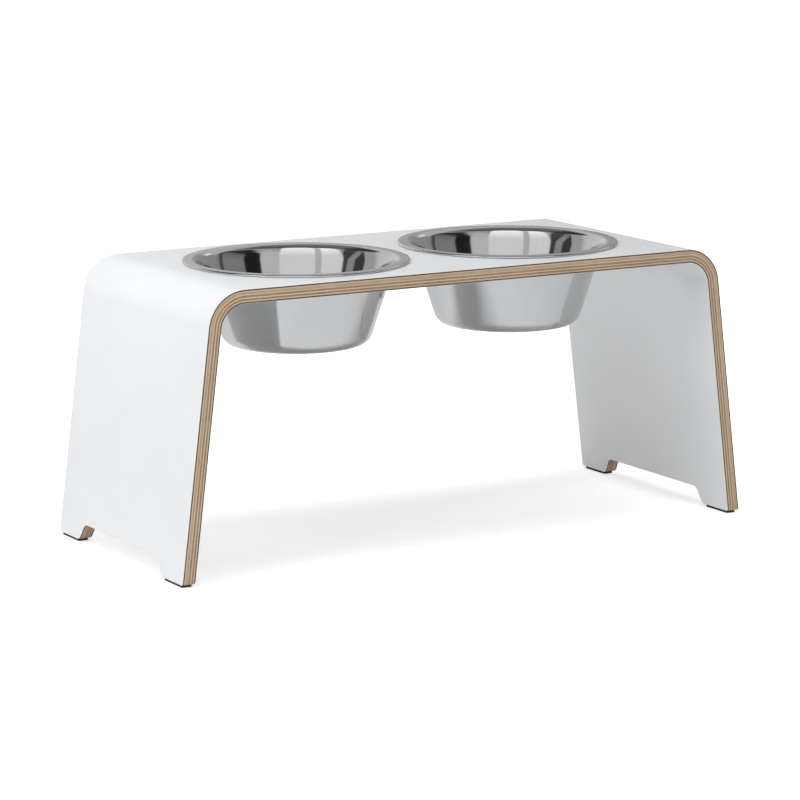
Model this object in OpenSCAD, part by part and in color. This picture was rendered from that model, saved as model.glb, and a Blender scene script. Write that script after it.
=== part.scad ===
// Dog feeder stand: a bench pressed from glued veneers with white laminate on both faces,
// two steel bowls hung by their rims in round holes, and a self-adhesive pad under each foot.
// Units are millimetres. The origin is on the floor, under the middle of the stand.
// +X runs along the stand, -Y is the front, +Z is up.

/* [Stand] */
// Length over the outer faces of the legs, at the bottom of the wood
stand_length = 600; // [500:1:800]
// Depth from the front edge to the back edge
stand_depth = 252; // [236:1:340]
// Height of the top face above the floor
stand_height = 260; // [150:1:400]
// Lean of each leg from upright, in degrees
leg_splay = 7.2; // [0:0.1:15]
// Outer radius of the bend between the top and a leg
bend_radius = 36; // [20:0.5:50]

/* [Laminations] */
// White printed sheet on the outside and the inside
decor_thickness = 0.2; // [0.15:0.05:0.6]
// Dark resin-bound paper behind each white sheet
backer_thickness = 1.2; // [0.4:0.05:1.6]
// Each of the seven beech veneers
veneer_thickness = 1.4; // [0.8:0.05:2]

/* [Feet] */
// Width of each foot at the floor, along the depth
foot_width = 42; // [30:1:70]
// Height of the cut-out between the two feet of a leg
notch_height = 15.5; // [8:0.5:40]
// Lean of the cut-out's side walls, in degrees
notch_slant = 30; // [0:1:45]
// Rounding in the upper corners of the cut-out
notch_radius = 8; // [3:0.5:12]
// Broken edge on the bottom corners of the feet
foot_chamfer = 2.5; // [0.5:0.1:4]
// Thickness of each rubber pad
pad_thickness = 2.3; // [1:0.1:5]
// Thickness of the adhesive film on each pad
film_thickness = 0.15; // [0.1:0.05:0.5]
// Distance from a pad to the edge of its foot
pad_inset = 1.2; // [0.5:0.1:3]

/* [Bowls] */
// Diameter over the rolled rim
rim_diameter = 210; // [180:1:230]
// Gap between the rims of the two bowls
rim_gap = 20; // [4:1:60]
// Width from the outside of the wall, level with the top of the stand, to the edge of the rim
flange_width = 13.5; // [9:0.5:20]
// Depth of the bowl below the top of the stand
bowl_depth = 77; // [50:0.5:110]
// Lean of the bowl wall from upright, in degrees
wall_slant = 17.8; // [5:0.1:25]
// Outer radius between the wall and the flat bottom
bottom_radius = 14.5; // [6:0.5:25]
// Thickness of the steel sheet
sheet_thickness = 0.8; // [0.6:0.05:1]
// Radius of the slight outward curve at the top of the wall
flare_radius = 60; // [30:1:120]
// How much further the wall leans at the top of that curve, in degrees
flare_turn = 8; // [1:0.5:15]
// Radius under the bend from the wall to the flange
flange_bend = 6; // [1.5:0.5:10]
// Outer radius of the rolled rim
rim_roll = 1.2; // [1.05:0.05:2.5]
// Gap all round between the bowl wall and its hole
hole_clearance = 2; // [1:0.1:4]
// Gap between the rolled rim and the top of the stand
rim_seat = 0.05; // [0.03:0.01:0.3]

/* [Hidden] */
$fn = 96;
// Straight steps in each drawn arc, and in the shallow curve at the top of the bowl wall
arc_steps = 20;
flare_steps = 8;
wood_bottom = pad_thickness + film_thickness;
laminate_thickness = decor_thickness + backer_thickness;
board_thickness = 2 * laminate_thickness + 7 * veneer_thickness;
// Centre of the bend, for the right-hand leg
bend_z = stand_height - bend_radius;
// The layers run on past the feet, where the end outline trims them
leg_low = wood_bottom - 5;
leg_run = (bend_z + bend_radius * sin(leg_splay) - wood_bottom) / cos(leg_splay);
bend_x = stand_length / 2 - bend_radius * cos(leg_splay) - leg_run * sin(leg_splay);
// Cut-out between the feet
notch_top = wood_bottom + notch_height;
notch_half = stand_depth / 2 - foot_width;
notch_lean = tan(notch_slant);
notch_arc_z = notch_top - notch_radius;
notch_arc_y = notch_half - (notch_arc_z - wood_bottom) * notch_lean - notch_radius / cos(notch_slant);
foot_length = board_thickness / cos(leg_splay);
// Bowl
bowl_spacing = rim_diameter + rim_gap;
wall_radius = rim_diameter / 2 - flange_width;
hole_radius = wall_radius + hole_clearance;
wall_lean = tan(wall_slant);
bowl_bottom = stand_height - bowl_depth;
bottom_arc_z = bowl_bottom + bottom_radius;
bottom_wall_r = wall_radius - (stand_height - bottom_arc_z) * wall_lean;
bottom_arc_r = bottom_wall_r - bottom_radius / cos(wall_slant);
rim_bottom = stand_height + rim_seat;
flange_top = rim_bottom + 2 * rim_roll;
flange_bottom = flange_top - sheet_thickness;
flange_arc_z = flange_bottom - flange_bend;
flare_slant = wall_slant + flare_turn;
flare_arc_z = flange_arc_z - (flare_radius - flange_bend) * sin(flare_slant);
flare_low_z = flare_arc_z + flare_radius * sin(wall_slant);
flare_wall_r = wall_radius - (stand_height - flare_low_z) * wall_lean;
flare_arc_r = flare_wall_r + flare_radius * cos(wall_slant);
flange_arc_r = flare_arc_r - (flare_radius - flange_bend) * cos(flare_slant);
roll_r = rim_diameter / 2 - rim_roll;
roll_z = flange_top - rim_roll;

// Points of an arc round a centre, from one angle to another
function arc(x, y, radius, from, to, steps = arc_steps) = [
    for (i = [0:steps])
        let (angle = from + (to - from) * i / steps)
            [x + radius * cos(angle), y + radius * sin(angle)]
];

// A path without its last point, where the next path takes over
function open_end(path) = [for (i = [0:len(path) - 2]) path[i]];

function backwards(path) = [for (i = [len(path) - 1:-1:0]) path[i]];

function mirrored(path) = [for (p = path) [-p[0], p[1]]];

// Depth below the outer face of the surface under a veneer
function veneer_floor(place) = laminate_thickness + place * veneer_thickness;

// Right half of the surface at one depth below the outer face, seen from the front
function right_face(depth) = concat(
    arc(bend_x, bend_z, bend_radius - depth, 90, leg_splay),
    [[
        bend_x + (bend_radius - depth) / cos(leg_splay) + (bend_z - leg_low) * tan(leg_splay),
        leg_low
    ]]
);

// One layer of the pressed bench between two depths, seen from the front
module layer_profile(top, under) {
    polygon(concat(
        backwards(mirrored(right_face(top))),
        right_face(top),
        backwards(right_face(under)),
        mirrored(right_face(under))
    ));
}

// Right half of the bench seen from its end, down the edge and up into the cut-out
function right_end() = concat(
    [
        [stand_depth / 2, stand_height + 10],
        [stand_depth / 2, wood_bottom + foot_chamfer],
        [stand_depth / 2 - foot_chamfer, wood_bottom],
        [notch_half + foot_chamfer, wood_bottom],
        [notch_half - foot_chamfer * notch_lean, wood_bottom + foot_chamfer]
    ],
    arc(notch_arc_y, notch_arc_z, notch_radius, notch_slant, 90)
);

// The bench seen from its end, with the cut-out between the feet
module end_outline() {
    polygon(concat(right_end(), backwards(mirrored(right_end()))));
}

// One pressed layer: bent sheet trimmed to the outline, with the two bowl holes
module layer(top, under) {
    difference() {
        intersection() {
            rotate([90, 0, 0])
                linear_extrude(height = stand_depth + 10, center = true)
                    layer_profile(top, under);
            rotate([90, 0, 90])
                linear_extrude(height = stand_length + 20, center = true)
                    end_outline();
        }
        for (side = [-1, 1])
            translate([side * bowl_spacing / 2, 0, stand_height - board_thickness - 5])
                cylinder(r = hole_radius, h = board_thickness + 10);
    }
}

// A veneer by its place, counted from the outer face
module veneer(place) {
    layer(veneer_floor(place - 1), veneer_floor(place));
}

// The slight outward curve at the top of the bowl wall, going up, at a distance above its underside
function flare(above) = arc(
    flare_arc_r, flare_arc_z, flare_radius + above,
    180 - wall_slant, 180 - flare_slant, flare_steps
);

// The bend from the wall to the flange, going up, at a distance above its underside
function flange_turn(above) = arc(
    flange_arc_r, flange_arc_z, flange_bend + above,
    180 - flare_slant, 90
);

// Half of the bowl's cut face, drawn as radius and height: out along the underside of the
// sheet, round the rolled rim, and back along its upper side
module bowl_profile() {
    polygon(concat(
        [[0, bowl_bottom]],
        arc(bottom_arc_r, bottom_arc_z, bottom_radius, -90, -wall_slant),
        open_end(flare(0)),
        flange_turn(0),
        arc(roll_r, roll_z, rim_roll - sheet_thickness, 90, -90),
        [[roll_r - rim_roll, rim_bottom + sheet_thickness], [roll_r - rim_roll, rim_bottom]],
        arc(roll_r, roll_z, rim_roll, -90, 90),
        open_end(backwards(flange_turn(sheet_thickness))),
        backwards(flare(sheet_thickness)),
        arc(bottom_arc_r, bottom_arc_z, bottom_radius - sheet_thickness, -wall_slant, -90),
        [[0, bowl_bottom + sheet_thickness]]
    ));
}

// A bowl at one side: -1 is left, 1 is right
module bowl(side) {
    translate([side * bowl_spacing / 2, 0, 0])
        rotate_extrude()
            bowl_profile();
}

// A flat piece under one foot, between two heights
module foot_patch(side, face, low, thickness) {
    wide = foot_length - 2 * pad_inset;
    long = foot_width - 2 * foot_chamfer - 2 * pad_inset;
    translate([
        side * (stand_length / 2 - foot_length / 2) - wide / 2,
        face * (stand_depth / 2 - foot_width / 2) - long / 2,
        low
    ])
        cube([wide, long, thickness]);
}

module outer_decor() {
    color("white") layer(0, decor_thickness);
}

module outer_backer() {
    color("dimgray") layer(decor_thickness, veneer_floor(0));
}

module veneer_1() {
    color("tan") veneer(1);
}

module veneer_2() {
    color("peru") veneer(2);
}

module veneer_3() {
    color("tan") veneer(3);
}

module veneer_4() {
    color("peru") veneer(4);
}

module veneer_5() {
    color("tan") veneer(5);
}

module veneer_6() {
    color("peru") veneer(6);
}

module veneer_7() {
    color("tan") veneer(7);
}

module inner_backer() {
    color("dimgray") layer(veneer_floor(7), board_thickness - decor_thickness);
}

module inner_decor() {
    color("white") layer(board_thickness - decor_thickness, board_thickness);
}

module left_bowl() {
    color("silver") bowl(-1);
}

module right_bowl() {
    color("silver") bowl(1);
}

module front_left_pad() {
    color("black") foot_patch(-1, -1, 0, pad_thickness);
}

module back_left_pad() {
    color("black") foot_patch(-1, 1, 0, pad_thickness);
}

module front_right_pad() {
    color("black") foot_patch(1, -1, 0, pad_thickness);
}

module back_right_pad() {
    color("black") foot_patch(1, 1, 0, pad_thickness);
}

module front_left_film() {
    color("gray") foot_patch(-1, -1, pad_thickness, film_thickness);
}

module back_left_film() {
    color("gray") foot_patch(-1, 1, pad_thickness, film_thickness);
}

module front_right_film() {
    color("gray") foot_patch(1, -1, pad_thickness, film_thickness);
}

module back_right_film() {
    color("gray") foot_patch(1, 1, pad_thickness, film_thickness);
}

outer_decor();
outer_backer();
veneer_1();
veneer_2();
veneer_3();
veneer_4();
veneer_5();
veneer_6();
veneer_7();
inner_backer();
inner_decor();
left_bowl();
right_bowl();
front_left_pad();
back_left_pad();
front_right_pad();
back_right_pad();
front_left_film();
back_left_film();
front_right_film();
back_right_film();
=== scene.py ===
import math

import bpy
import numpy as np
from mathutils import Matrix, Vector


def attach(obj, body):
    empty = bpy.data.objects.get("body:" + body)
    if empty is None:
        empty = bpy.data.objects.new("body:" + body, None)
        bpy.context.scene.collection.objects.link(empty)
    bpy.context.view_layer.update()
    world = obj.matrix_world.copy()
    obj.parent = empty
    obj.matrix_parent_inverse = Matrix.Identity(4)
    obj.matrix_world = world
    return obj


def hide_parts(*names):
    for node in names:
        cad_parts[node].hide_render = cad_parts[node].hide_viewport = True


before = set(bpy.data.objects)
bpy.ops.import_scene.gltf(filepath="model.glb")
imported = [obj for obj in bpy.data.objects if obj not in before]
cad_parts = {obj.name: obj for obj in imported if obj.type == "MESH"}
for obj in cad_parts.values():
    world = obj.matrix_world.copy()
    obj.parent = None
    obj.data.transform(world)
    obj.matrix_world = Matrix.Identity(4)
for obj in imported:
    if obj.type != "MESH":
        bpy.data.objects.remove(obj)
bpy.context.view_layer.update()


# The pressed core: seven beech veneers, glued and bent over a form in one pressing. The long-grain
# sheets run from foot to foot, and the cross-grain sheets between them show darker end grain on
# the cut edge. The bowl holes and the feet are routed after pressing.
half_length = 0.300
half_depth = 0.126
top_height = 0.260
splay = math.radians(7.2)
bend_radius = 0.036
wood_bottom = 0.00245
board_thickness = 0.0126
laminate_thickness = 0.0014
veneer_thickness = 0.0014
bowl_x = 0.115
hole_radius = 0.0935
strip_x = 0.230
edge_ease = 0.0003
foot_width = 0.042
foot_corner = 0.0025
notch_height = 0.0155
notch_radius = 0.008
notch_lean = math.radians(30)

bend_z = top_height - bend_radius
leg_run = (bend_z + bend_radius * math.sin(splay) - wood_bottom) / math.cos(splay)
bend_x = half_length - bend_radius * math.cos(splay) - leg_run * math.sin(splay)


def foot_outline():
    """Half of a leg's lower edge as (across, height): the level top of the cut-out, a round, a
    leaning wall, the sole of the foot, and a rounded corner at each end of the sole. The outer
    corner is a quarter round drawn as one minus sine and one minus cosine. The inner one runs
    across with a power of the sine, so that it meets the leaning wall without a step."""
    foot_inside = half_depth - foot_width
    notch_top = wood_bottom + notch_height
    arc_z = notch_top - notch_radius
    wall_run = (arc_z - wood_bottom) * math.tan(notch_lean)
    arc_y = foot_inside - wall_run - notch_radius / math.cos(notch_lean)
    level_y = np.linspace(0, arc_y, 5)[:-1]
    level = np.stack([level_y, np.full(len(level_y), notch_top)], 1)
    turn = np.linspace(math.pi / 2, notch_lean, 9)
    round_in = np.stack([arc_y + notch_radius * np.cos(turn), arc_z + notch_radius * np.sin(turn)], 1)
    wall_y = foot_inside - foot_corner * math.tan(notch_lean)
    corner = np.linspace(0, math.pi / 2, 5)
    inner_power = 1.6
    inner_corner = np.stack([
        wall_y + (foot_inside + foot_corner - wall_y) * np.sin(corner) ** inner_power,
        wood_bottom + foot_corner * (1 - np.sin(corner)),
    ], 1)
    outer_corner = np.stack([
        half_depth - foot_corner * (1 - np.sin(corner)),
        wood_bottom + foot_corner * (1 - np.cos(corner)),
    ], 1)
    sole_y = np.linspace(foot_inside + foot_corner, half_depth - foot_corner, 5)[1:-1]
    sole = np.stack([sole_y, np.full(len(sole_y), wood_bottom)], 1)
    return np.concatenate([level, round_in, inner_corner, sole, outer_corner])


half_outline = foot_outline()
foot_y = np.concatenate([-half_outline[:0:-1, 0], half_outline[:, 0]])
foot_z = np.concatenate([half_outline[:0:-1, 1], half_outline[:, 1]])


def half_sheet(depth, ease):
    """The right half of the surface at one depth below the outer face, as places and as flat board
    coordinates (along, across, depth). Round the hole it is a grid of rings that blend the circle
    into a rectangle. Beyond that, each row of the other grid is a line across the board: along the
    flat top, then round the bend as centre plus radius times (cosine, sine), then straight down
    the leg to the foot outline. ease draws every cut edge back from its corner."""
    edge = half_depth - ease
    across = foot_y * edge / half_depth
    columns = len(across)
    side_steps, bend_steps, leg_steps = 26, 28, 7
    side = np.linspace(0, 1, side_steps + 1)[1:-1]
    rectangle = np.concatenate([
        np.stack([np.full(columns, strip_x), across], 1),
        np.stack([strip_x * (1 - side), np.full(len(side), edge)], 1),
        np.stack([np.zeros(columns), across[::-1]], 1),
        np.stack([strip_x * side, np.full(len(side), -edge)], 1),
    ])
    quarter = math.pi / 4
    angle = np.concatenate([
        np.linspace(-quarter, quarter, columns),
        quarter + 2 * quarter * side,
        np.linspace(3 * quarter, 5 * quarter, columns),
        5 * quarter + 2 * quarter * side,
    ])
    rim = hole_radius + ease
    circle = np.stack([bowl_x + rim * np.cos(angle), rim * np.sin(angle)], 1)
    share = np.array([0, 0.12, 0.4, 0.7, 1])[:, None, None]
    rings = circle * (1 - share) + rectangle * share
    level = np.full(rings.shape[:2], top_height - depth)
    ring_place = np.concatenate([rings, level[..., None]], -1)
    ring_flat = np.concatenate([rings, np.full(level.shape, depth)[..., None]], -1)

    radius = bend_radius - depth
    turn = np.linspace(math.pi / 2, splay, bend_steps + 1)
    start = np.array([bend_x + radius * math.cos(splay), bend_z + radius * math.sin(splay)])
    drop = np.linspace(0, 1, leg_steps + 1)[1:, None] * (start[1] - foot_z - ease)
    row_x = np.concatenate([
        np.repeat([[strip_x]], columns, 1),
        np.repeat((bend_x + radius * np.cos(turn))[:, None], columns, 1),
        start[0] + drop * math.tan(splay),
    ])
    row_z = np.concatenate([
        np.full((1, columns), top_height - depth),
        np.repeat((bend_z + radius * np.sin(turn))[:, None], columns, 1),
        start[1] - drop,
    ])
    middle = bend_radius - board_thickness / 2
    row_s = np.concatenate([
        np.full((1, columns), strip_x),
        np.repeat((bend_x + middle * (math.pi / 2 - turn))[:, None], columns, 1),
        bend_x + middle * (math.pi / 2 - splay) + drop / math.cos(splay),
    ])
    row_y = np.repeat(across[None], len(row_x), 0)
    row_place = np.stack([row_x, row_y, row_z], -1)
    row_flat = np.stack([row_s, row_y, np.full(row_s.shape, depth)], -1)
    return ring_place, ring_flat, row_place, row_flat


def whole_sheet(depth, ease):
    """Both halves of the surface at one depth, the left one mirrored in the middle plane."""
    ring_place, ring_flat, row_place, row_flat = half_sheet(depth, ease)
    place = np.concatenate([ring_place.reshape(-1, 3), row_place.reshape(-1, 3)])
    flat = np.concatenate([ring_flat.reshape(-1, 3), row_flat.reshape(-1, 3)])
    mirror = np.array([-1.0, 1.0, 1.0])
    return np.concatenate([place, place * mirror]), np.concatenate([flat, flat * mirror])


def sheet_faces():
    """The four-sided faces of the sheet, facing outwards, with the points on shared lines merged,
    and its open edges in order round each face."""
    ring_place, _, row_place, _ = half_sheet(0.0, 0.0)
    rings, points = ring_place.shape[:2]
    i, j = np.meshgrid(np.arange(rings - 1), np.arange(points), indexing="ij")
    k = (j + 1) % points
    inner, outer = i * points, (i + 1) * points
    ring_quads = np.stack([inner + j, outer + j, outer + k, inner + k], -1)
    rows, columns = row_place.shape[:2]
    i, j = np.meshgrid(np.arange(rows - 1), np.arange(columns - 1), indexing="ij")
    first = rings * points + i * columns + j
    row_quads = np.stack([first, first + columns, first + columns + 1, first + 1], -1)
    right = np.concatenate([ring_quads.reshape(-1, 4), row_quads.reshape(-1, 4)])
    count = rings * points + rows * columns
    quads = np.concatenate([right, right[:, ::-1] + count])
    flat = whole_sheet(0.0, 0.0)[1]
    along_across = np.round(flat[:, :2], 6)
    kept, merged = np.unique(along_across, axis=0, return_index=True, return_inverse=True)[1:]
    quads = merged.reshape(-1)[quads]
    edges = np.stack([quads, np.roll(quads, -1, 1)], -1).reshape(-1, 2)
    size = len(kept)
    forward = edges[:, 0] * size + edges[:, 1]
    backward = edges[:, 1] * size + edges[:, 0]
    return kept, quads, edges[~np.isin(forward, backward)]


sheet_kept, sheet_quads, sheet_edges = sheet_faces()


def layer_mesh(name, top, under):
    """A closed layer of the board between two depths: its outer surface, its inner surface, and a
    wall down every cut edge. The wall steps through the depths where the eased edge of the
    finished board ends, because the ease is the distance left to the nearer face."""
    def ease_at(depth):
        return max(0.0, edge_ease - depth, edge_ease - (board_thickness - depth))

    stops = [edge_ease, board_thickness - edge_ease]
    hair = 1e-6
    depths = [top] + [stop for stop in stops if top + hair < stop < under - hair] + [under]
    sheets = [whole_sheet(depth, ease_at(depth)) for depth in depths]
    count = len(sheet_kept)
    place = np.concatenate([sheet_place[sheet_kept] for sheet_place, _ in sheets])
    flat = np.concatenate([sheet_flat[sheet_kept] for _, sheet_flat in sheets])
    last = (len(depths) - 1) * count
    walls = [
        np.stack([
            sheet_edges[:, 0] + start, sheet_edges[:, 0] + start + count,
            sheet_edges[:, 1] + start + count, sheet_edges[:, 1] + start,
        ], 1)
        for start in range(0, last, count)
    ]
    faces = np.concatenate([sheet_quads, sheet_quads[:, ::-1] + last] + walls)
    used, faces = np.unique(faces, return_inverse=True)
    mesh = bpy.data.meshes.new(name)
    mesh.from_pydata(place[used], [], faces.reshape(-1, 4))
    board = mesh.attributes.new("flat_board", "FLOAT_VECTOR", "POINT")
    board.data.foreach_set("vector", flat[used].astype(np.float32).ravel())
    mesh.polygons.foreach_set("use_smooth", np.ones(len(mesh.polygons), bool))
    mesh.set_sharp_from_angle(angle=math.radians(25))
    piece = bpy.data.objects.new(name, mesh)
    bpy.context.scene.collection.objects.link(piece)
    return piece


def veneer_figure_group():
    """Wood figure in flat board coordinates: fine fibres and broader growth bands from stretched
    noise choose between a light and a dark colour, short rays darken it in flecks, and the glue
    stains it next to both faces of the sheet. Ply is the place in the sheet, from 0 to 1."""
    group = bpy.data.node_groups.new("veneer_figure", "ShaderNodeTree")
    group.interface.new_socket(name="Grain", in_out="INPUT", socket_type="NodeSocketVector")
    group.interface.new_socket(name="Ply", in_out="INPUT", socket_type="NodeSocketFloat")
    group.interface.new_socket(name="Light", in_out="INPUT", socket_type="NodeSocketColor")
    group.interface.new_socket(name="Dark", in_out="INPUT", socket_type="NodeSocketColor")
    group.interface.new_socket(name="Color", in_out="OUTPUT", socket_type="NodeSocketColor")
    group.interface.new_socket(name="Roughness", in_out="OUTPUT", socket_type="NodeSocketFloat")
    group.interface.new_socket(name="Height", in_out="OUTPUT", socket_type="NodeSocketFloat")
    nodes, links = group.nodes, group.links
    given = nodes.new("NodeGroupInput")
    result = nodes.new("NodeGroupOutput")
    fibres = nodes.new("ShaderNodeTexNoise")
    fibres.inputs["Scale"].default_value = 1.0
    fibres.inputs["Detail"].default_value = 3.0
    fibres.inputs["Roughness"].default_value = 0.62
    links.new(given.outputs["Grain"], fibres.inputs["Vector"])
    bands = nodes.new("ShaderNodeTexNoise")
    bands.inputs["Scale"].default_value = 0.22
    bands.inputs["Detail"].default_value = 2.0
    links.new(given.outputs["Grain"], bands.inputs["Vector"])
    tone = nodes.new("ShaderNodeMath")
    tone.operation = "MULTIPLY_ADD"
    tone.inputs[1].default_value = 0.55
    links.new(fibres.outputs["Fac"], tone.inputs[0])
    broad = nodes.new("ShaderNodeMath")
    broad.operation = "MULTIPLY"
    broad.inputs[1].default_value = 0.45
    links.new(bands.outputs["Fac"], broad.inputs[0])
    links.new(broad.outputs["Value"], tone.inputs[2])
    spread = nodes.new("ShaderNodeMapRange")
    spread.inputs["From Min"].default_value = 0.34
    spread.inputs["From Max"].default_value = 0.64
    links.new(tone.outputs["Value"], spread.inputs["Value"])
    body = nodes.new("ShaderNodeMix")
    body.data_type = "RGBA"
    links.new(spread.outputs["Result"], body.inputs["Factor"])
    links.new(given.outputs["Dark"], body.inputs["A"])
    links.new(given.outputs["Light"], body.inputs["B"])
    rays = nodes.new("ShaderNodeTexNoise")
    rays.inputs["Scale"].default_value = 2.3
    rays.inputs["Detail"].default_value = 1.0
    links.new(given.outputs["Grain"], rays.inputs["Vector"])
    flecks = nodes.new("ShaderNodeMapRange")
    flecks.inputs["From Min"].default_value = 0.6
    flecks.inputs["From Max"].default_value = 0.72
    flecks.inputs["To Max"].default_value = 0.55
    links.new(rays.outputs["Fac"], flecks.inputs["Value"])
    marked = nodes.new("ShaderNodeMix")
    marked.data_type = "RGBA"
    links.new(flecks.outputs["Result"], marked.inputs["Factor"])
    links.new(body.outputs["Result"], marked.inputs["A"])
    links.new(given.outputs["Dark"], marked.inputs["B"])
    wrapped = nodes.new("ShaderNodeMath")
    wrapped.operation = "PINGPONG"
    wrapped.inputs[1].default_value = 0.5
    links.new(given.outputs["Ply"], wrapped.inputs[0])
    soaked = nodes.new("ShaderNodeMapRange")
    soaked.interpolation_type = "SMOOTHSTEP"
    soaked.inputs["From Min"].default_value = 0.03
    soaked.inputs["From Max"].default_value = 0.13
    soaked.inputs["To Min"].default_value = 0.7
    soaked.inputs["To Max"].default_value = 0.0
    links.new(wrapped.outputs["Value"], soaked.inputs["Value"])
    stained = nodes.new("ShaderNodeMix")
    stained.data_type = "RGBA"
    stained.inputs["B"].default_value = (0.15, 0.085, 0.045, 1)
    links.new(soaked.outputs["Result"], stained.inputs["Factor"])
    links.new(marked.outputs["Result"], stained.inputs["A"])
    dull = nodes.new("ShaderNodeMapRange")
    dull.inputs["To Min"].default_value = 0.62
    dull.inputs["To Max"].default_value = 0.48
    links.new(spread.outputs["Result"], dull.inputs["Value"])
    links.new(stained.outputs["Result"], result.inputs["Color"])
    links.new(dull.outputs["Result"], result.inputs["Roughness"])
    links.new(fibres.outputs["Fac"], result.inputs["Height"])
    return group


veneer_figure = veneer_figure_group()


def veneer_finish(name, light, dark, grain):
    """Oiled veneer. grain stretches the figure: small along the fibres and large across them."""
    finish = bpy.data.materials.new(name)
    finish.use_nodes = True
    nodes, links = finish.node_tree.nodes, finish.node_tree.links
    shader = nodes["Principled BSDF"]
    board = nodes.new("ShaderNodeAttribute")
    board.attribute_name = "flat_board"
    stretch = nodes.new("ShaderNodeMapping")
    stretch.inputs["Scale"].default_value = grain
    links.new(board.outputs["Vector"], stretch.inputs["Vector"])
    flat = nodes.new("ShaderNodeSeparateXYZ")
    links.new(board.outputs["Vector"], flat.inputs["Vector"])
    ply = nodes.new("ShaderNodeMapRange")
    ply.clamp = False
    ply.inputs["From Min"].default_value = laminate_thickness
    ply.inputs["From Max"].default_value = laminate_thickness + veneer_thickness
    links.new(flat.outputs["Z"], ply.inputs["Value"])
    figure = nodes.new("ShaderNodeGroup")
    figure.node_tree = veneer_figure
    links.new(ply.outputs["Result"], figure.inputs["Ply"])
    figure.inputs["Light"].default_value = (*light, 1)
    figure.inputs["Dark"].default_value = (*dark, 1)
    links.new(stretch.outputs["Vector"], figure.inputs["Grain"])
    relief = nodes.new("ShaderNodeBump")
    relief.inputs["Strength"].default_value = 0.25
    relief.inputs["Distance"].default_value = 0.0001
    links.new(figure.outputs["Height"], relief.inputs["Height"])
    links.new(figure.outputs["Color"], shader.inputs["Base Color"])
    links.new(figure.outputs["Roughness"], shader.inputs["Roughness"])
    links.new(relief.outputs["Normal"], shader.inputs["Normal"])
    shader.inputs["Specular IOR Level"].default_value = 0.3
    return finish


along_grain = (14, 1100, 1100)
across_grain = (350, 45, 1300)
long_grain = veneer_finish(
    "long_grain_veneer", (0.64, 0.488, 0.342), (0.44, 0.322, 0.217), along_grain)
pale_cross_grain = veneer_finish(
    "pale_cross_grain_veneer", (0.5, 0.38, 0.262), (0.36, 0.265, 0.178), across_grain)
cross_grain = veneer_finish(
    "cross_grain_veneer", (0.335, 0.241, 0.161), (0.21, 0.146, 0.096), across_grain)
veneer_finishes = [
    long_grain, pale_cross_grain, long_grain, cross_grain, long_grain, cross_grain, long_grain,
]
for place, finish in enumerate(veneer_finishes):
    floor_depth = laminate_thickness + (place + 1) * veneer_thickness
    veneer = layer_mesh("veneer_sheet_%d" % (place + 1), floor_depth - veneer_thickness, floor_depth)
    veneer.data.materials.append(finish)
    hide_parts("veneer_%d" % (place + 1))
    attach(veneer, "stand")


# The dark backers: sheets of brown paper pressed hard in resin, one under each white face. Only
# their cut edge shows, as the thin dark line along both sides of the board.
decor_thickness = 0.0002


def fine_mottle_group():
    """Fine unevenness for plain surfaces: small-grained noise for the height, and slow noise for
    how far the colour moves from one tint to another and the roughness within its range."""
    group = bpy.data.node_groups.new("fine_mottle", "ShaderNodeTree")
    group.interface.new_socket(name="Vector", in_out="INPUT", socket_type="NodeSocketVector")
    group.interface.new_socket(name="Grain Scale", in_out="INPUT", socket_type="NodeSocketFloat")
    group.interface.new_socket(name="Patch Scale", in_out="INPUT", socket_type="NodeSocketFloat")
    group.interface.new_socket(name="Tint A", in_out="INPUT", socket_type="NodeSocketColor")
    group.interface.new_socket(name="Tint B", in_out="INPUT", socket_type="NodeSocketColor")
    group.interface.new_socket(name="Smoothest", in_out="INPUT", socket_type="NodeSocketFloat")
    group.interface.new_socket(name="Roughest", in_out="INPUT", socket_type="NodeSocketFloat")
    group.interface.new_socket(name="Color", in_out="OUTPUT", socket_type="NodeSocketColor")
    group.interface.new_socket(name="Roughness", in_out="OUTPUT", socket_type="NodeSocketFloat")
    group.interface.new_socket(name="Height", in_out="OUTPUT", socket_type="NodeSocketFloat")
    nodes, links = group.nodes, group.links
    given = nodes.new("NodeGroupInput")
    result = nodes.new("NodeGroupOutput")
    grain = nodes.new("ShaderNodeTexNoise")
    grain.inputs["Detail"].default_value = 2.0
    patch = nodes.new("ShaderNodeTexNoise")
    patch.inputs["Detail"].default_value = 3.0
    links.new(given.outputs["Vector"], grain.inputs["Vector"])
    links.new(given.outputs["Grain Scale"], grain.inputs["Scale"])
    links.new(given.outputs["Vector"], patch.inputs["Vector"])
    links.new(given.outputs["Patch Scale"], patch.inputs["Scale"])
    both = nodes.new("ShaderNodeMath")
    both.operation = "MULTIPLY_ADD"
    both.inputs[1].default_value = 0.35
    links.new(grain.outputs["Fac"], both.inputs[0])
    slow = nodes.new("ShaderNodeMath")
    slow.operation = "MULTIPLY"
    slow.inputs[1].default_value = 0.65
    links.new(patch.outputs["Fac"], slow.inputs[0])
    links.new(slow.outputs["Value"], both.inputs[2])
    spread = nodes.new("ShaderNodeMapRange")
    spread.inputs["From Min"].default_value = 0.35
    spread.inputs["From Max"].default_value = 0.65
    links.new(both.outputs["Value"], spread.inputs["Value"])
    tint = nodes.new("ShaderNodeMix")
    tint.data_type = "RGBA"
    links.new(spread.outputs["Result"], tint.inputs["Factor"])
    links.new(given.outputs["Tint A"], tint.inputs["A"])
    links.new(given.outputs["Tint B"], tint.inputs["B"])
    rough = nodes.new("ShaderNodeMapRange")
    links.new(spread.outputs["Result"], rough.inputs["Value"])
    links.new(given.outputs["Smoothest"], rough.inputs["To Min"])
    links.new(given.outputs["Roughest"], rough.inputs["To Max"])
    links.new(tint.outputs["Result"], result.inputs["Color"])
    links.new(rough.outputs["Result"], result.inputs["Roughness"])
    links.new(grain.outputs["Fac"], result.inputs["Height"])
    return group


fine_mottle = fine_mottle_group()


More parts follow.
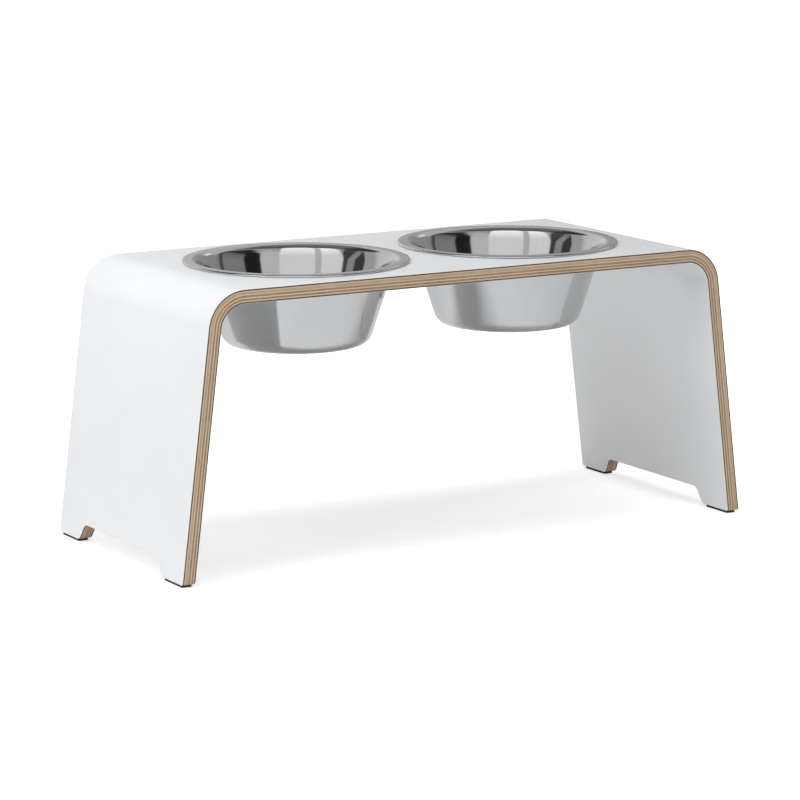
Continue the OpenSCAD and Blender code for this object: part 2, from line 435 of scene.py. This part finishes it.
def mottled_finish(name, coordinates, grain, patch, tints, rough, relief_depth):
    """A plain surface with fine relief. coordinates is a mesh attribute to read, or None for the
    object's own space."""
    finish = bpy.data.materials.new(name)
    finish.use_nodes = True
    nodes, links = finish.node_tree.nodes, finish.node_tree.links
    shader = nodes["Principled BSDF"]
    if coordinates:
        source = nodes.new("ShaderNodeAttribute")
        source.attribute_name = coordinates
        vector = source.outputs["Vector"]
    else:
        vector = nodes.new("ShaderNodeTexCoord").outputs["Object"]
    mottle = nodes.new("ShaderNodeGroup")
    mottle.node_tree = fine_mottle
    mottle.inputs["Grain Scale"].default_value = grain
    mottle.inputs["Patch Scale"].default_value = patch
    mottle.inputs["Tint A"].default_value = (*tints[0], 1)
    mottle.inputs["Tint B"].default_value = (*tints[1], 1)
    mottle.inputs["Smoothest"].default_value = rough[0]
    mottle.inputs["Roughest"].default_value = rough[1]
    links.new(vector, mottle.inputs["Vector"])
    relief = nodes.new("ShaderNodeBump")
    relief.inputs["Strength"].default_value = 0.3
    relief.inputs["Distance"].default_value = relief_depth
    links.new(mottle.outputs["Height"], relief.inputs["Height"])
    links.new(mottle.outputs["Color"], shader.inputs["Base Color"])
    links.new(mottle.outputs["Roughness"], shader.inputs["Roughness"])
    links.new(relief.outputs["Normal"], shader.inputs["Normal"])
    return finish


resin_paper = mottled_finish(
    "resin_paper", "flat_board", 2600, 180,
    ((0.055, 0.042, 0.031), (0.085, 0.067, 0.05)), (0.42, 0.6), 0.00004)
outer_backer = layer_mesh("outer_backer_sheet", decor_thickness, laminate_thickness)
inner_backer = layer_mesh(
    "inner_backer_sheet", board_thickness - laminate_thickness, board_thickness - decor_thickness)
for backer, node in ((outer_backer, "outer_backer"), (inner_backer, "inner_backer")):
    backer.data.materials.append(resin_paper)
    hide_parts(node)
    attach(backer, "stand")


# The white faces: thin printed melamine paper, pressed onto the backers with a satin plate that
# leaves a faint grain. One sheet covers the top and the outside of both legs, one the inside.
white_laminate = mottled_finish(
    "white_laminate", "flat_board", 1500, 9,
    ((0.835, 0.838, 0.842), (0.865, 0.867, 0.87)), (0.3, 0.38), 0.00002)
satin = white_laminate.node_tree.nodes["Principled BSDF"]
satin.inputs["Specular IOR Level"].default_value = 0.45
outer_face = layer_mesh("outer_white_face", 0.0, decor_thickness)
inner_face = layer_mesh("inner_white_face", board_thickness - decor_thickness, board_thickness)
for face, node in ((outer_face, "outer_decor"), (inner_face, "inner_decor")):
    face.data.materials.append(white_laminate)
    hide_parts(node)
    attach(face, "stand")


# The foot pads: strips of black rubber with rounded corners, one stuck under each foot with its
# own adhesive film, a little inside the edge of the foot.
pad_thickness = 0.0023
pad_inset = 0.0012
pad_corner = 0.0018
pad_edge = 0.0003
film_edge = 0.00004
sole_length = board_thickness / math.cos(splay)
pad_wide = sole_length - 2 * pad_inset
pad_long = foot_width - 2 * foot_corner - 2 * pad_inset


def strip_mesh(name, place, low, high, corner, edge):
    """A flat strip with rounded corners: an outline of straight sides and quarter circles, carried
    up a profile that draws in by edge at the bottom and the top, and closed by flat ends."""
    turn = np.linspace(0, math.pi / 2, 7)
    quarter = np.arange(4)[:, None] * math.pi / 2 + turn
    wide, long = pad_wide / 2, pad_long / 2
    centre_x = (wide - corner) * np.array([1, -1, -1, 1])[:, None]
    centre_y = (long - corner) * np.array([1, 1, -1, -1])[:, None]
    steps = np.linspace(0, math.pi / 2, 4)
    draw = np.concatenate([edge * (1 - np.sin(steps)), edge * (1 - np.cos(steps))])
    height = np.concatenate([low + edge * (1 - np.cos(steps)), high - edge * (1 - np.sin(steps))])
    radius = (corner - draw)[:, None, None]
    loop_x = (centre_x + radius * np.cos(quarter)).reshape(len(draw), -1)
    loop_y = (centre_y + radius * np.sin(quarter)).reshape(len(draw), -1)
    points = loop_x.shape[1]
    loop = np.stack([
        loop_x + place[0], loop_y + place[1], np.repeat(height[:, None], points, 1),
    ], -1).reshape(-1, 3)
    i, j = np.meshgrid(np.arange(len(draw) - 1), np.arange(points), indexing="ij")
    k = (j + 1) % points
    lower, upper = i * points, (i + 1) * points
    sides = np.stack([lower + j, lower + k, upper + k, upper + j], -1).reshape(-1, 4)
    bottom = np.arange(points)[::-1]
    top = (len(draw) - 1) * points + np.arange(points)
    mesh = bpy.data.meshes.new(name)
    mesh.from_pydata(loop, [], sides.tolist() + [bottom.tolist(), top.tolist()])
    mesh.polygons.foreach_set("use_smooth", np.ones(len(mesh.polygons), bool))
    mesh.set_sharp_from_angle(angle=math.radians(35))
    piece = bpy.data.objects.new(name, mesh)
    bpy.context.scene.collection.objects.link(piece)
    return piece


pad_x = half_length - sole_length / 2
pad_y = half_depth - foot_width / 2
pad_places = {
    "front_left_pad": (-pad_x, -pad_y), "back_left_pad": (-pad_x, pad_y),
    "front_right_pad": (pad_x, -pad_y), "back_right_pad": (pad_x, pad_y),
}
pad_rubber = mottled_finish(
    "pad_rubber", None, 1800, 120,
    ((0.014, 0.0135, 0.013), (0.026, 0.025, 0.024)), (0.62, 0.8), 0.00008)
for node, place in pad_places.items():
    pad = strip_mesh(node + "_rubber", place, 0.0, pad_thickness, pad_corner, pad_edge)
    pad.data.materials.append(pad_rubber)
    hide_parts(node)
    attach(pad, "stand")

adhesive_film = mottled_finish(
    "adhesive_film", None, 900, 200,
    ((0.2, 0.195, 0.18), (0.26, 0.25, 0.235)), (0.3, 0.5), 0.00002)
for node, place in pad_places.items():
    film = strip_mesh(
        node + "_adhesive", place, pad_thickness, wood_bottom, pad_corner, film_edge)
    film.data.materials.append(adhesive_film)
    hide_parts(node.replace("_pad", "_film"))
    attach(film, "stand")


# The two bowls: each drawn from one disc of stainless steel, with a flat flange and a rolled rim
# that lies on the white face, mirror polished inside and out on a turning spindle.
rim_radius = 0.105
wall_radius = 0.0915
wall_lean = math.radians(17.8)
flare_radius = 0.060
flare_lean = wall_lean + math.radians(8)
sheet = 0.0008
rim_roll = 0.0012
flange_bend = 0.006
bottom_radius = 0.0145
bowl_depth = 0.077
rim_seat = 0.00005
bowl_floor = top_height - bowl_depth
flange_top = top_height + rim_seat + 2 * rim_roll


def bowl_outline():
    """The cut face of the sheet as (radius, height): out along the underside from the middle of
    the floor, round the bottom corner, up the leaning wall and its slight flare, over into the
    flange and round the rolled rim, then back along the upper side. Each corner is an arc tangent
    to its neighbours."""
    def arc(r, z, radius, start, end, count):
        turn = np.radians(np.linspace(start, end, count))
        return np.stack([r + radius * np.cos(turn), z + radius * np.sin(turn)], 1)

    def line(start, end, count):
        return np.linspace(start, end, count + 2)[1:-1]

    def wall_at(height):
        return wall_radius - (top_height - height) * math.tan(wall_lean)

    lean, flare = math.degrees(wall_lean), math.degrees(flare_lean)
    corner_z = bowl_floor + bottom_radius
    corner_r = wall_at(corner_z) - bottom_radius / math.cos(wall_lean)
    bend_top = flange_top - sheet - flange_bend
    flare_z = bend_top - (flare_radius - flange_bend) * math.sin(flare_lean)
    flare_low = flare_z + flare_radius * math.sin(wall_lean)
    flare_r = wall_at(flare_low) + flare_radius * math.cos(wall_lean)
    bend_r = flare_r - (flare_radius - flange_bend) * math.cos(flare_lean)
    roll_r = rim_radius - rim_roll
    roll_z = flange_top - rim_roll
    low = arc(corner_r, corner_z, bottom_radius, -90, -lean, 15)
    flare_out = arc(flare_r, flare_z, flare_radius, 180 - lean, 180 - flare, 9)
    turn_out = arc(bend_r, bend_top, flange_bend, 180 - flare, 90, 11)
    roll_in = arc(roll_r, roll_z, rim_roll - sheet, 90, -90, 11)
    roll_out = arc(roll_r, roll_z, rim_roll, -90, 90, 19)
    turn_in = arc(bend_r, bend_top, flange_bend + sheet, 90, 180 - flare, 17)
    flare_in = arc(flare_r, flare_z, flare_radius + sheet, 180 - flare, 180 - lean, 13)
    low_in = arc(corner_r, corner_z, bottom_radius - sheet, -lean, -90, 15)
    hem_r, hem_z = roll_r - rim_roll, roll_z - rim_roll
    hem = np.array([[hem_r, hem_z + sheet], [hem_r, hem_z]])
    middle, middle_in = [0, bowl_floor], [0, bowl_floor + sheet]
    return np.concatenate([
        [middle], line(middle, low[0], 4), low,
        line(low[-1], flare_out[0], 5), flare_out[:-1],
        turn_out, line(turn_out[-1], roll_in[0], 2), roll_in, hem,
        roll_out, line(roll_out[-1], turn_in[0], 3), turn_in[:-1],
        flare_in, line(flare_in[-1], low_in[0], 5),
        low_in, line(low_in[-1], middle_in, 4), [middle_in],
    ])


def bowl_mesh(name, x):
    """The bowl's outline turned round its upright axis, as radius times (cosine, sine). The two
    ends of the outline lie on the axis and become one point each. The attribute holds (cosine,
    sine, length along the outline from the outermost point of the rim), which has no seam for the
    polishing marks to break at and is below zero on the underside."""
    outline = bowl_outline()
    around = 224
    angle = np.arange(around) * 2 * math.pi / around
    turned = outline[1:-1]
    place = np.stack([
        x + turned[:, :1] * np.cos(angle), turned[:, :1] * np.sin(angle),
        np.repeat(turned[:, 1:], around, 1),
    ], -1).reshape(-1, 3)
    travel = np.concatenate([[0], np.cumsum(np.linalg.norm(np.diff(outline, axis=0), axis=1))])
    travel -= travel[np.argmax(outline[:, 0])]
    marks = np.stack([
        np.repeat(np.cos(angle)[None], len(turned), 0),
        np.repeat(np.sin(angle)[None], len(turned), 0),
        np.repeat(travel[1:-1, None], around, 1),
    ], -1).reshape(-1, 3)
    i, j = np.meshgrid(np.arange(len(turned) - 1), np.arange(around), indexing="ij")
    k = (j + 1) % around
    first, second = i * around, (i + 1) * around
    quads = np.stack([first + j, first + k, second + k, second + j], -1).reshape(-1, 4)
    count = len(place)
    j = np.arange(around)
    k = (j + 1) % around
    last = (len(turned) - 1) * around
    caps = np.concatenate([
        np.stack([np.full(around, count), k, j], 1),
        np.stack([np.full(around, count + 1), last + j, last + k], 1),
    ])
    place = np.concatenate([place, [[x, 0, outline[0, 1]], [x, 0, outline[-1, 1]]]])
    marks = np.concatenate([marks, [[0, 0, travel[0]], [0, 0, travel[-1]]]])
    mesh = bpy.data.meshes.new(name)
    mesh.from_pydata(place, [], quads.tolist() + caps.tolist())
    polish = mesh.attributes.new("polish_marks", "FLOAT_VECTOR", "POINT")
    polish.data.foreach_set("vector", marks.astype(np.float32).ravel())
    mesh.polygons.foreach_set("use_smooth", np.ones(len(mesh.polygons), bool))
    mesh.set_sharp_from_angle(angle=math.radians(35))
    piece = bpy.data.objects.new(name, mesh)
    bpy.context.scene.collection.objects.link(piece)
    return piece


def bowl_steel_finish():
    """Polished steel: fine turning marks from noise stretched round the bowl move the roughness and
    the height a little, and slow noise dulls the polish in soft patches, as handling does. Past
    the rolled rim the underside is left duller, as drawn and only lightly buffed."""
    finish = bpy.data.materials.new("bowl_steel")
    finish.use_nodes = True
    nodes, links = finish.node_tree.nodes, finish.node_tree.links
    shader = nodes["Principled BSDF"]
    shader.inputs["Metallic"].default_value = 1.0
    source = nodes.new("ShaderNodeAttribute")
    source.attribute_name = "polish_marks"
    stretch = nodes.new("ShaderNodeMapping")
    stretch.inputs["Scale"].default_value = (1.2, 1.2, 2600)
    links.new(source.outputs["Vector"], stretch.inputs["Vector"])
    marks = nodes.new("ShaderNodeTexNoise")
    marks.inputs["Scale"].default_value = 1.0
    marks.inputs["Detail"].default_value = 3.0
    links.new(stretch.outputs["Vector"], marks.inputs["Vector"])
    place = nodes.new("ShaderNodeTexCoord")
    mottle = nodes.new("ShaderNodeGroup")
    mottle.node_tree = fine_mottle
    mottle.inputs["Grain Scale"].default_value = 300
    mottle.inputs["Patch Scale"].default_value = 22
    mottle.inputs["Tint A"].default_value = (0.575, 0.577, 0.582, 1)
    mottle.inputs["Tint B"].default_value = (0.605, 0.605, 0.603, 1)
    mottle.inputs["Smoothest"].default_value = 0.045
    mottle.inputs["Roughest"].default_value = 0.07
    links.new(place.outputs["Object"], mottle.inputs["Vector"])
    brushed = nodes.new("ShaderNodeMath")
    brushed.operation = "MULTIPLY_ADD"
    brushed.inputs[1].default_value = 0.03
    links.new(marks.outputs["Fac"], brushed.inputs[0])
    links.new(mottle.outputs["Roughness"], brushed.inputs[2])
    along = nodes.new("ShaderNodeSeparateXYZ")
    links.new(source.outputs["Vector"], along.inputs["Vector"])
    underside = nodes.new("ShaderNodeMapRange")
    underside.inputs["From Min"].default_value = -0.004
    underside.inputs["From Max"].default_value = -0.001
    underside.inputs["To Min"].default_value = 0.035
    underside.inputs["To Max"].default_value = 0.0
    links.new(along.outputs["Z"], underside.inputs["Value"])
    polish = nodes.new("ShaderNodeMath")
    links.new(brushed.outputs["Value"], polish.inputs[0])
    links.new(underside.outputs["Result"], polish.inputs[1])
    relief = nodes.new("ShaderNodeBump")
    relief.inputs["Strength"].default_value = 0.06
    relief.inputs["Distance"].default_value = 0.00002
    links.new(marks.outputs["Fac"], relief.inputs["Height"])
    links.new(mottle.outputs["Color"], shader.inputs["Base Color"])
    links.new(polish.outputs["Value"], shader.inputs["Roughness"])
    links.new(relief.outputs["Normal"], shader.inputs["Normal"])
    return finish


bowl_steel = bowl_steel_finish()
for node, x in (("left_bowl", -bowl_x), ("right_bowl", bowl_x)):
    bowl = bowl_mesh(node + "_steel", x)
    bowl.data.materials.append(bowl_steel)
    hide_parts(node)
    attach(bowl, node)


# The studio floor: a wide sheet of white paper that keeps the stand's soft shadow, and runs on past
# the camera's view so that no edge shows. The camera and the steel see it lifted towards white,
# the camera more so away from the stand, where the lamps no longer reach.
floor_lines = 7
reach = np.linspace(-15, 15, floor_lines)
grid_x, grid_y = np.meshgrid(reach, reach, indexing="ij")
floor_points = np.stack([grid_x, grid_y, np.zeros_like(grid_x)], -1).reshape(-1, 3)
i, j = np.meshgrid(np.arange(floor_lines - 1), np.arange(floor_lines - 1), indexing="ij")
near, far = i * floor_lines + j, (i + 1) * floor_lines + j
floor_quads = np.stack([near, far, far + 1, near + 1], -1).reshape(-1, 4)
floor_mesh = bpy.data.meshes.new("floor")
floor_mesh.from_pydata(floor_points, [], floor_quads)
floor = bpy.data.objects.new("floor", floor_mesh)
bpy.context.scene.collection.objects.link(floor)
floor_paper = bpy.data.materials.new("floor_paper")
floor_paper.use_nodes = True
nodes, links = floor_paper.node_tree.nodes, floor_paper.node_tree.links
shader = nodes["Principled BSDF"]
shader.inputs["Base Color"].default_value = (0.9, 0.9, 0.9, 1)
shader.inputs["Roughness"].default_value = 0.9
shader.inputs["Specular IOR Level"].default_value = 0.0
path = nodes.new("ShaderNodeLightPath")
mirrored = nodes.new("ShaderNodeMath")
mirrored.operation = "MAXIMUM"
links.new(path.outputs["Is Glossy Ray"], mirrored.inputs[0])
links.new(path.outputs["Is Transmission Ray"], mirrored.inputs[1])
in_metal = nodes.new("ShaderNodeMath")
in_metal.operation = "MULTIPLY"
in_metal.inputs[1].default_value = 0.07
links.new(mirrored.outputs["Value"], in_metal.inputs[0])
from_stand = nodes.new("ShaderNodeVectorMath")
from_stand.operation = "LENGTH"
links.new(nodes.new("ShaderNodeTexCoord").outputs["Object"], from_stand.inputs[0])
past_lamps = nodes.new("ShaderNodeMapRange")
past_lamps.inputs["From Min"].default_value = 0.35
past_lamps.inputs["From Max"].default_value = 1.8
past_lamps.inputs["To Min"].default_value = 0.53
past_lamps.inputs["To Max"].default_value = 1.0
links.new(from_stand.outputs["Value"], past_lamps.inputs["Value"])
seen = nodes.new("ShaderNodeMath")
seen.operation = "MULTIPLY_ADD"
links.new(path.outputs["Is Camera Ray"], seen.inputs[0])
links.new(past_lamps.outputs["Result"], seen.inputs[1])
links.new(in_metal.outputs["Value"], seen.inputs[2])
lift = nodes.new("ShaderNodeEmission")
lift.inputs["Color"].default_value = (1, 1, 1, 1)
links.new(seen.outputs["Value"], lift.inputs["Strength"])
added = nodes.new("ShaderNodeAddShader")
links.new(shader.outputs["BSDF"], added.inputs[0])
links.new(lift.outputs["Emission"], added.inputs[1])
links.new(added.outputs["Shader"], nodes["Material Output"].inputs["Surface"])
floor_mesh.materials.append(floor_paper)


# The room: a weak even fill for matt surfaces, and white where the camera looks past the floor.
# Polished steel sees the room itself: grey walls, a darker ceiling, two bright panels in front of
# the stand with a post between them, and dark flags at their sides.
world = bpy.data.worlds.new("studio_room")
bpy.context.scene.world = world
world.use_nodes = True
nodes, links = world.node_tree.nodes, world.node_tree.links
nodes.clear()
direction = nodes.new("ShaderNodeTexCoord")
parts = nodes.new("ShaderNodeSeparateXYZ")
links.new(direction.outputs["Generated"], parts.inputs["Vector"])


def worked_out(operation, *values):
    """One value of the room picture, worked out from numbers or from other values."""
    step = nodes.new("ShaderNodeMath")
    step.operation = operation
    for socket, value in zip(step.inputs, values):
        if isinstance(value, bpy.types.NodeSocket):
            links.new(value, socket)
        else:
            socket.default_value = value
    return step.outputs["Value"]


backward = worked_out("MULTIPLY", parts.outputs["Y"], -1.0)
azimuth = worked_out("MULTIPLY", worked_out("ARCTAN2", parts.outputs["X"], backward), math.degrees(1))
elevation = worked_out("MULTIPLY", worked_out("ARCSINE", parts.outputs["Z"]), math.degrees(1))


def share_of(angle, centre, half, power):
    """How far an angle lies from a centre, in half widths, raised to a power."""
    away = worked_out("WRAP", worked_out("SUBTRACT", angle, centre), 180.0, -180.0)
    return worked_out("POWER", worked_out("ABSOLUTE", worked_out("DIVIDE", away, half)), power)


def studio_card(under, card):
    """A card with rounded corners, painted over the room under it. It covers the directions whose
    shares of its half width and half height, raised to a power and added, stay below one, and
    fades over its edge. It leans sideways by so many degrees for each degree of height. Its
    brightness runs from the first level at its middle to the second at its top."""
    side, half_width, rise, half_height, lean, power, edge, level, top_level = card
    middle = worked_out("MULTIPLY_ADD", elevation, lean, side - lean * rise)
    total = worked_out(
        "ADD", share_of(azimuth, middle, half_width, power), share_of(elevation, rise, half_height, power))
    cover = nodes.new("ShaderNodeMapRange")
    cover.interpolation_type = "SMOOTHSTEP"
    cover.inputs["From Min"].default_value = max(0.0, 1 - edge) ** power
    cover.inputs["From Max"].default_value = (1 + edge) ** power
    cover.inputs["To Min"].default_value = 1.0
    cover.inputs["To Max"].default_value = 0.0
    links.new(total, cover.inputs["Value"])
    glow = nodes.new("ShaderNodeMapRange")
    glow.inputs["From Min"].default_value = rise + 0.45 * half_height
    glow.inputs["From Max"].default_value = rise + half_height
    glow.inputs["To Min"].default_value = level
    glow.inputs["To Max"].default_value = top_level
    links.new(elevation, glow.inputs["Value"])
    painted = nodes.new("ShaderNodeMix")
    links.new(cover.outputs["Result"], painted.inputs["Factor"])
    links.new(under, painted.inputs["A"])
    links.new(glow.outputs["Result"], painted.inputs["B"])
    return painted.outputs["Result"]


walls = nodes.new("ShaderNodeMapRange")
walls.interpolation_type = "SMOOTHSTEP"
walls.inputs["From Min"].default_value = 41
walls.inputs["From Max"].default_value = 50
walls.inputs["To Min"].default_value = 0.48
walls.inputs["To Max"].default_value = 0.23
links.new(elevation, walls.inputs["Value"])
studio_cards = {
    "back_left_wall": (168, 42, 0, 40, 0, 6, 0.25, 0.8, 0.7),
    "back_right_wall": (120, 38, 30, 34, 0, 5, 0.2, 0.64, 0.6),
    "left_ceiling": (-135, 36, 44, 11, 0, 4, 0.25, 0.055, 0.06),
    "front_ceiling": (-30, 75, 60, 11, 0, 4, 0.3, 0.13, 0.13),
    "low_back_right": (112, 37.3, 6, 16, 0, 4, 0.2, 0.36, 0.36),
    "low_front": (-46, 85, 0, 17, 0, 5, 0.2, 0.56, 0.5),
    "right_grey_card": (59, 25, 8, 25, 0, 7, 0.1, 0.29, 0.14),
    "grey_card_edge": (77.5, 2.5, 10, 22, 0, 4, 0.5, 0.1, 0.1),
    "grey_card_top": (54, 24, 35, 5, 0, 4, 0.35, 0.04, 0.04),
    "black_flag": (29, 12, 10, 24, 0, 4, 0.07, 0.02, 0.02),
    "pale_wall": (4, 14, 12, 26, 0, 5, 0.1, 0.72, 0.66),
    "dark_flag": (-107.7, 16.2, 12, 25, 0, 6, 0.05, 0.06, 0.1),
    "flag_stripe": (-102, 6, 20, 14, -1.5, 4, 0.3, 0.36, 0.2),
    "narrow_panel": (-66, 25.5, 12, 35, 0, 2.6, 0.045, 0.95, 1.65),
    "wide_panel": (-32, 25.5, 12, 38, 0, 4.5, 0.04, 0.95, 1.65),
    "panel_post": (-58, 3.5, 24, 20, 0, 4, 0.45, 0.64, 0.64),
    "back_right_lamp": (113, 6, 27, 5, 0, 2, 0.4, 1.3, 1.3),
}
room_picture = walls.outputs["Result"]
for card in studio_cards.values():
    room_picture = studio_card(room_picture, card)

path = nodes.new("ShaderNodeLightPath")
fill = nodes.new("ShaderNodeBackground")
fill.inputs["Color"].default_value = (1, 1, 1, 1)
fill.inputs["Strength"].default_value = 0.1
room = nodes.new("ShaderNodeBackground")
room.inputs["Color"].default_value = (1, 1, 1, 1)
links.new(room_picture, room.inputs["Strength"])
white = nodes.new("ShaderNodeBackground")
white.inputs["Color"].default_value = (1, 1, 1, 1)
mirrored = nodes.new("ShaderNodeMath")
mirrored.operation = "MAXIMUM"
links.new(path.outputs["Is Glossy Ray"], mirrored.inputs[0])
links.new(path.outputs["Is Transmission Ray"], mirrored.inputs[1])
lit = nodes.new("ShaderNodeMixShader")
links.new(mirrored.outputs["Value"], lit.inputs["Fac"])
links.new(fill.outputs["Background"], lit.inputs[1])
links.new(room.outputs["Background"], lit.inputs[2])
seen = nodes.new("ShaderNodeMixShader")
links.new(path.outputs["Is Camera Ray"], seen.inputs["Fac"])
links.new(lit.outputs["Shader"], seen.inputs[1])
links.new(white.outputs["Background"], seen.inputs[2])
output = nodes.new("ShaderNodeOutputWorld")
links.new(seen.outputs["Shader"], output.inputs["Surface"])


# The lamps: a key soft box high at the left, one overhead, a weak one at the right, and strip boxes
# in front, near the floor and behind. Together they light a colour about as it is written and
# leave only soft shadows. The steel shows the room's painted panels in their place.
soft_boxes = {
    "key_soft_box": ((-1.15, -0.15, 0.88), (-0.1, 0, 0.2), (0.8, 0.8), 7.0, (0.954, 0.976, 1)),
    "overhead_soft_box": ((-0.3, -0.1, 2.2), (0, 0, 0.2), (1.2, 1.2), 25.0, (0.954, 0.976, 1)),
    "front_strip_box": ((0.1, -2.8, 0.8), (0, 0, 0.15), (1.4, 1.4), 20.0, (1, 1, 1)),
    "low_front_strip_box": ((0.1, -2.8, 0.14), (0, 0, 0.1), (1.6, 0.24), 20.0, (1, 1, 1)),
    "back_strip_box": ((-1.0, 2.6, 0.35), (0, 0, 0.15), (1.4, 0.6), 30.0, (1, 1, 1)),
    "side_soft_box": ((2.0, 0.25, 0.4), (0.2, 0, 0.13), (0.8, 0.8), 15.0, (1, 1, 1)),
}
for name, (place, aim, size, watts, tint) in soft_boxes.items():
    lamp = bpy.data.lights.new(name, "AREA")
    lamp.shape = "RECTANGLE"
    lamp.size, lamp.size_y = size
    lamp.energy = watts
    lamp.color = tint
    soft_box = bpy.data.objects.new(name, lamp)
    soft_box.location = place
    soft_box.rotation_euler = (Vector(aim) - Vector(place)).to_track_quat("-Z", "Y").to_euler()
    soft_box.visible_camera = False
    soft_box.visible_glossy = False
    bpy.context.scene.collection.objects.link(soft_box)


# The camera: a long lens at the photograph's angle, a little to the left of the stand and above
# its top, far enough away to draw it without strong perspective.
camera_height_angle = 10.776
camera_turn = -30.658
camera = bpy.data.cameras.new("camera")
camera.sensor_width = 36
camera.lens = 154.35
camera.clip_end = 100
viewpoint = bpy.data.objects.new("camera", camera)
viewpoint.location = (-1.62367, -2.7321, 0.72358)
viewpoint.rotation_euler = (
    math.radians(90 - camera_height_angle), 0, math.radians(camera_turn))
bpy.context.scene.collection.objects.link(viewpoint)
bpy.context.scene.camera = viewpoint
bpy.context.scene.view_settings.view_transform = "Standard"
